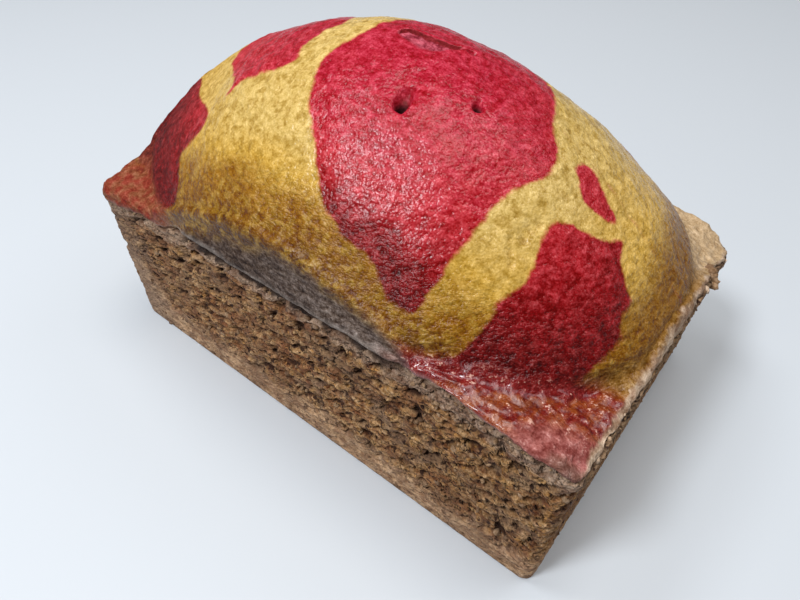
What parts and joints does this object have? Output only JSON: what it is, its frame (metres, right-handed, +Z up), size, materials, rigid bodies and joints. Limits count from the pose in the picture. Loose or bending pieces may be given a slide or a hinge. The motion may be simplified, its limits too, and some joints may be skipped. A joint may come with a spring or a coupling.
{
  "type": "marbled banana loaf cake",
  "caption": "Domed marbled chocolate and banana loaf cake with torn crumb sides, a pressed lip over the long sides and a flat base.",
  "frame": {"origin": "middle of the flat base, on the surface that the loaf stands on", "axes": "+X along the loaf towards the end with the wide corner ledge, +Y towards the far long side, +Z up"},
  "size_m": [0.1655, 0.1098, 0.1108],
  "materials": {
    "loaf": "Baked cake: matt brown torn crumb on the sides and base, and a slightly glossy, finely wrinkled crust marbled in golden ochre and red on the dome."
  },
  "bodies": {
    "root": {"loaf": "loaf"}
  },
  "joints": []
}
